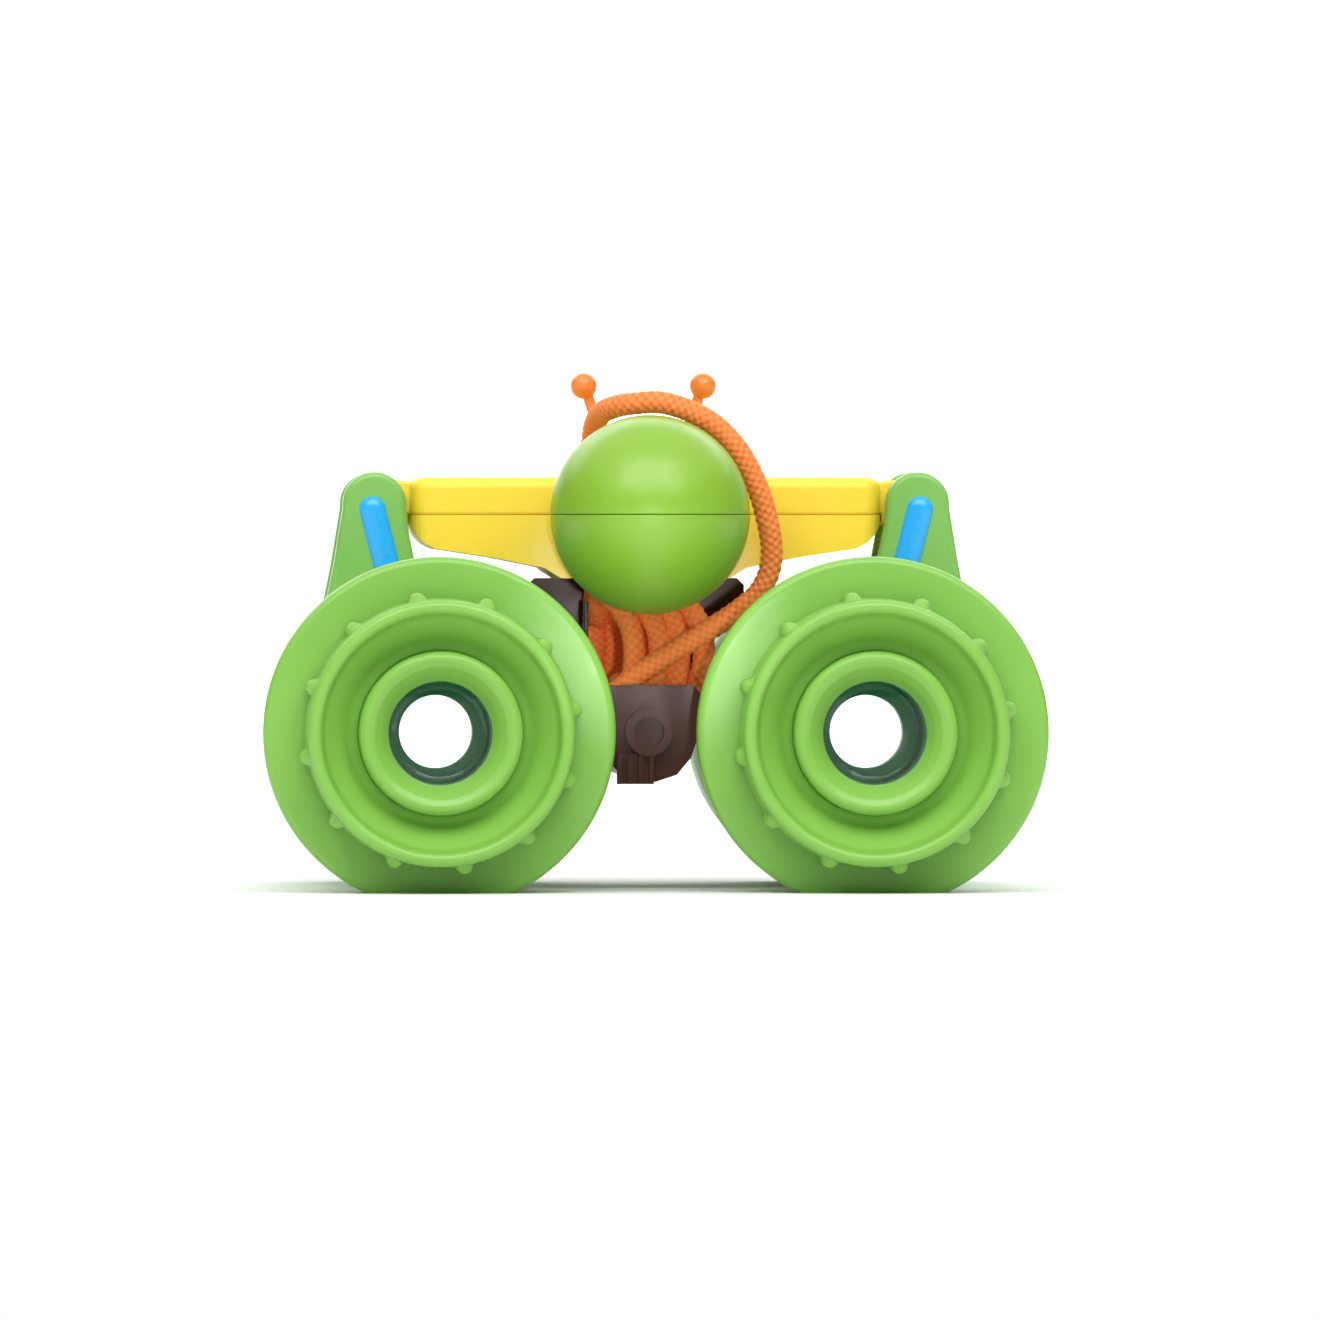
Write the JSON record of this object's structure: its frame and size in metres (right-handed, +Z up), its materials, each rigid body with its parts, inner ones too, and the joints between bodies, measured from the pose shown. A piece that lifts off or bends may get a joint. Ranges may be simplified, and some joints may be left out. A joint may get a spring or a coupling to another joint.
{
  "type": "toy binoculars",
  "caption": "Child's toy binoculars: green barrels with twist-focus eyecups, hinged under a yellow bridge, with a round ball, feelers and a braided neck cord.",
  "frame": {"origin": "on the surface that the feet rest on, under the middle of the object without its cord", "axes": "+X to the right as seen by the user, -Y towards the user's eyes, +Z up; the barrels lie along Y"},
  "size_m": [0.1102, 0.102, 0.0733],
  "materials": {
    "green": "satin moulded green plastic",
    "ball_green": "glossy yellow-green plastic",
    "dark_green": "matt dark green plastic",
    "yellow": "glossy yellow plastic",
    "blue": "glossy blue plastic",
    "orange": "glossy orange plastic",
    "brown": "glossy dark brown plastic",
    "white_plastic": "natural white plastic",
    "steel": "plated steel",
    "lens": "clear acrylic",
    "cord": "braided orange polyester",
    "tie": "black plastic ribbon"
  },
  "bodies": {
    "bridge": {"bridge_upper_shell": "yellow", "bridge_lower_shell": "yellow", "ball_upper": "ball_green", "ball_lower": "ball_green", "neck_stem": "ball_green", "left_feeler": "orange", "right_feeler": "orange", "underbody": "brown", "bridge_screws": "steel", "underbody_screws": "steel", "cord_grommet_top": "yellow", "cord_grommet_rear": "yellow", "cord_lead": "cord", "cord_hank": "cord", "cord_tail": "cord", "cord_tie": "tie"},
    "left_barrel": {"left_rear_flange": "green", "left_barrel_tube": "green", "left_objective_bell": "green", "left_objective_lens": "lens", "left_objective_ring": "dark_green", "left_light_baffle": "dark_green", "left_focus_guide": "dark_green", "left_lug_inlay": "blue", "left_hinge_pin": "steel"},
    "left_focus_ring": {"left_eyecup": "green", "left_ring_clip": "white_plastic"},
    "left_lens_slide": {"left_lens_carrier": "green", "left_carrier_pins": "steel", "left_eye_lens": "lens", "left_lens_retainer": "dark_green"},
    "right_barrel": {"right_rear_flange": "green", "right_barrel_tube": "green", "right_objective_bell": "green", "right_objective_lens": "lens", "right_objective_ring": "dark_green", "right_light_baffle": "dark_green", "right_focus_guide": "dark_green", "right_lug_inlay": "blue", "right_hinge_pin": "steel"},
    "right_focus_ring": {"right_eyecup": "green", "right_ring_clip": "white_plastic"},
    "right_lens_slide": {"right_lens_carrier": "green", "right_carrier_pins": "steel", "right_eye_lens": "lens", "right_lens_retainer": "dark_green"}
  },
  "joints": [
    {"name": "left_barrel_swing", "type": "hinge", "parent": "bridge", "child": "left_barrel", "pos_m": [-0.0386, 0.0055, 0.0546], "axis": [0, 1, 0], "range_deg": [-3, 6]},
    {"name": "left_focus_turn", "type": "hinge", "parent": "left_barrel", "child": "left_focus_ring", "pos_m": [-0.0304, -0.041, 0.0224], "axis": [0, 1, 0], "range_deg": [-60, 60]},
    {"name": "left_lens_travel", "type": "slide", "parent": "left_barrel", "child": "left_lens_slide", "axis": [0, 1, 0], "range_m": [-0.0012, 0.0012]},
    {"name": "right_barrel_swing", "type": "hinge", "parent": "bridge", "child": "right_barrel", "pos_m": [0.0386, 0.0055, 0.0546], "axis": [0, -1, 0], "range_deg": [-3, 6]},
    {"name": "right_focus_turn", "type": "hinge", "parent": "right_barrel", "child": "right_focus_ring", "pos_m": [0.0304, -0.041, 0.0224], "axis": [0, 1, 0], "range_deg": [-60, 60]},
    {"name": "right_lens_travel", "type": "slide", "parent": "right_barrel", "child": "right_lens_slide", "axis": [0, 1, 0], "range_m": [-0.0012, 0.0012]}
  ],
  "couplings": [
    {"joint": "left_lens_travel", "follows": "left_focus_turn", "m_per_rad": 0.0011455},
    {"joint": "right_lens_travel", "follows": "right_focus_turn", "m_per_rad": -0.0011455}
  ]
}
